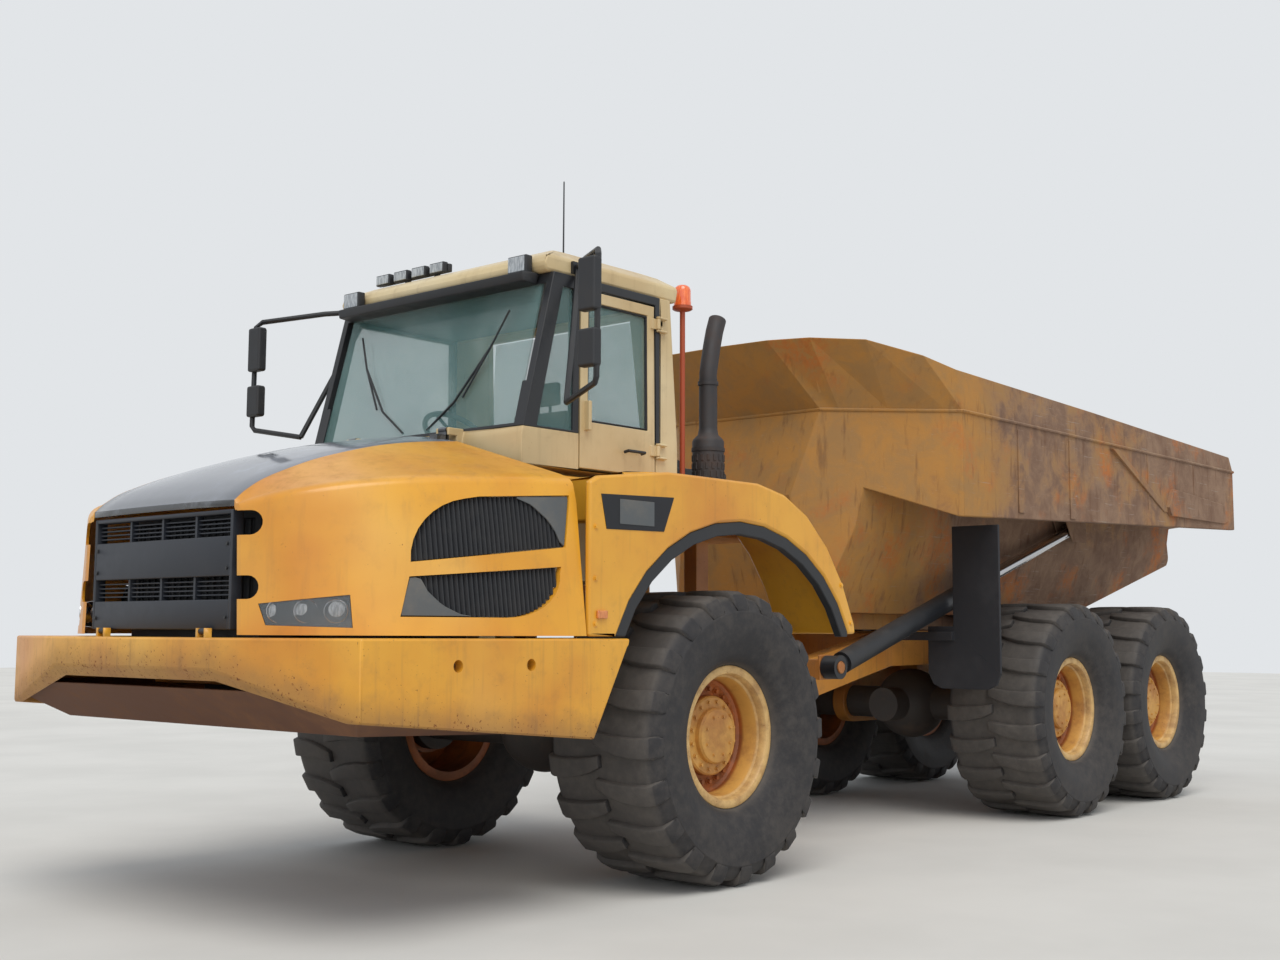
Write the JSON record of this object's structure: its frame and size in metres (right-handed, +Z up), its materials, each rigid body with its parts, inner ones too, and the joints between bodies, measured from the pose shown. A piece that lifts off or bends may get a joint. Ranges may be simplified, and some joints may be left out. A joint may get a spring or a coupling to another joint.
{
  "type": "articulated dump truck",
  "caption": "Articulated six-wheel off-road dump truck with a tipping bed, hinged front and rear units, a tilting hood, an opening door and turning wheels.",
  "frame": {"origin": "on the ground under the middle of the truck's length and width", "axes": "+X forward, +Y to the driver's left, +Z up"},
  "size_m": [10.297, 2.966, 3.9],
  "materials": {
    "yellow_paint": "dusty gloss, chipped at edges",
    "cream_paint": "satin",
    "black_paint": "satin, dusty",
    "grey_paint": "satin",
    "worn_steel": "worn paint over rust",
    "bright_steel": "ground and hard chromed",
    "black_plastic": "matt",
    "seat_fabric": "woven",
    "lamp_plastic": "clear over silver",
    "red_plastic": "clear",
    "amber_plastic": "clear",
    "window_glass": "tinted",
    "tyre_rubber": "dusty"
  },
  "bodies": {
    "front_unit": {"front_frame": "yellow_paint", "front_axle": "grey_paint", "engine": "grey_paint", "radiator": "black_paint", "bumper": "yellow_paint", "belly_pan": "worn_steel", "fender_left": "yellow_paint", "fender_right": "yellow_paint", "fender_trim": "black_paint", "cab_frame": "cream_paint", "window_frames": "black_paint", "roof": "cream_paint", "cab_glass": "window_glass", "seat": "seat_fabric", "dash": "black_plastic", "mirrors": "black_paint", "exhaust_stack": "black_paint", "rear_deck": "yellow_paint", "hydraulic_tank": "black_paint", "roof_lights": "black_plastic", "beacon": "amber_plastic"},
    "hood": {"hood_shell": "yellow_paint", "hood_top": "black_paint", "side_vents": "grey_paint", "headlights": "lamp_plastic"},
    "grille_step": {"grille": "black_paint"},
    "door": {"door_left": "cream_paint", "door_glass": "window_glass"},
    "rear_unit": {"rear_frame": "yellow_paint", "hitch": "grey_paint", "mid_axle": "grey_paint", "rear_axle": "grey_paint", "bogie_beams": "yellow_paint", "mud_flaps": "black_plastic", "tail_lights": "red_plastic"},
    "bed": {"bed_shell": "worn_steel", "bed_guard": "worn_steel", "bed_ribs": "worn_steel"},
    "wheel_front_left": {"tyre_front_left": "tyre_rubber", "rim_front_left": "yellow_paint"},
    "wheel_front_right": {"tyre_front_right": "tyre_rubber", "rim_front_right": "yellow_paint"},
    "wheel_mid_left": {"tyre_mid_left": "tyre_rubber", "rim_mid_left": "yellow_paint"},
    "wheel_mid_right": {"tyre_mid_right": "tyre_rubber", "rim_mid_right": "yellow_paint"},
    "wheel_rear_left": {"tyre_rear_left": "tyre_rubber", "rim_rear_left": "yellow_paint"},
    "wheel_rear_right": {"tyre_rear_right": "tyre_rubber", "rim_rear_right": "yellow_paint"},
    "hoist_barrels": {"hoist_barrels": "black_paint"},
    "hoist_rods": {"hoist_rods": "bright_steel"},
    "steer_barrel_left": {"steer_barrel_left": "black_paint"},
    "steer_rod_left": {"steer_rod_left": "bright_steel"},
    "steer_barrel_right": {"steer_barrel_right": "black_paint"},
    "steer_rod_right": {"steer_rod_right": "bright_steel"}
  },
  "joints": [
    {"name": "steer", "type": "hinge", "parent": "front_unit", "child": "rear_unit", "pos_m": [1.1745, 0, 0.985], "axis": [0, 0, 1], "range_deg": [-45, 45]},
    {"name": "bed_tip", "type": "hinge", "parent": "rear_unit", "child": "bed", "pos_m": [-4.1155, 0, 1.45], "axis": [0, -1, 0], "range_deg": [0, 70]},
    {"name": "hood_tilt", "type": "hinge", "parent": "front_unit", "child": "hood", "pos_m": [3.5705, 0, 2.405], "axis": [0, -1, 0], "range_deg": [0, 65]},
    {"name": "grille_fold", "type": "hinge", "parent": "front_unit", "child": "grille_step", "pos_m": [5.0295, 0, 1.338], "axis": [0, 1, 0], "range_deg": [0, 90]},
    {"name": "door_swing", "type": "hinge", "parent": "front_unit", "child": "door", "pos_m": [2.4205, 0.898, 2.7], "axis": [0, 0, 1], "range_deg": [0, 85]},
    {"name": "wheel_front_left_spin", "type": "hinge", "parent": "front_unit", "child": "wheel_front_left", "pos_m": [2.3845, 1.108, 0.785], "axis": [0, 1, 0], "continuous": true},
    {"name": "wheel_front_right_spin", "type": "hinge", "parent": "front_unit", "child": "wheel_front_right", "pos_m": [2.3845, -1.108, 0.785], "axis": [0, 1, 0], "continuous": true},
    {"name": "wheel_mid_left_spin", "type": "hinge", "parent": "rear_unit", "child": "wheel_mid_left", "pos_m": [-1.7905, 1.108, 0.785], "axis": [0, 1, 0], "continuous": true},
    {"name": "wheel_mid_right_spin", "type": "hinge", "parent": "rear_unit", "child": "wheel_mid_right", "pos_m": [-1.7905, -1.108, 0.785], "axis": [0, 1, 0], "continuous": true},
    {"name": "wheel_rear_left_spin", "type": "hinge", "parent": "rear_unit", "child": "wheel_rear_left", "pos_m": [-3.4605, 1.108, 0.785], "axis": [0, 1, 0], "continuous": true},
    {"name": "wheel_rear_right_spin", "type": "hinge", "parent": "rear_unit", "child": "wheel_rear_right", "pos_m": [-3.4605, -1.108, 0.785], "axis": [0, 1, 0], "continuous": true},
    {"name": "hoist_turn", "type": "hinge", "parent": "rear_unit", "child": "hoist_barrels", "pos_m": [0.6645, 0, 1.12], "axis": [0, 1, 0], "range_deg": [0, 3]},
    {"name": "hoist_stroke", "type": "slide", "parent": "hoist_barrels", "child": "hoist_rods", "axis": [-0.9566, 0, 0.2914], "range_m": [0, 1.7]},
    {"name": "steer_barrel_left_turn", "type": "hinge", "parent": "front_unit", "child": "steer_barrel_left", "pos_m": [2.1245, 0.36, 0.985], "axis": [0, 0, 1], "range_deg": [-10, 10]},
    {"name": "steer_rod_left_stroke", "type": "slide", "parent": "steer_barrel_left", "child": "steer_rod_left", "axis": [-0.9972, 0.0748, 0], "range_m": [-0.33, 0.33]},
    {"name": "steer_barrel_right_turn", "type": "hinge", "parent": "front_unit", "child": "steer_barrel_right", "pos_m": [2.1245, -0.36, 0.985], "axis": [0, 0, 1], "range_deg": [-10, 10]},
    {"name": "steer_rod_right_stroke", "type": "slide", "parent": "steer_barrel_right", "child": "steer_rod_right", "axis": [-0.9972, -0.0748, 0], "range_m": [-0.33, 0.33]}
  ],
  "couplings": [
    {"joint": "hoist_turn", "follows": "bed_tip", "ratio": 0.0399},
    {"joint": "hoist_stroke", "follows": "bed_tip", "m_per_rad": 1.3888},
    {"joint": "steer_barrel_left_turn", "follows": "steer", "ratio": 0.2011},
    {"joint": "steer_rod_left_stroke", "follows": "steer", "m_per_rad": 0.408},
    {"joint": "steer_barrel_right_turn", "follows": "steer", "ratio": 0.2011},
    {"joint": "steer_rod_right_stroke", "follows": "steer", "m_per_rad": -0.408}
  ]
}
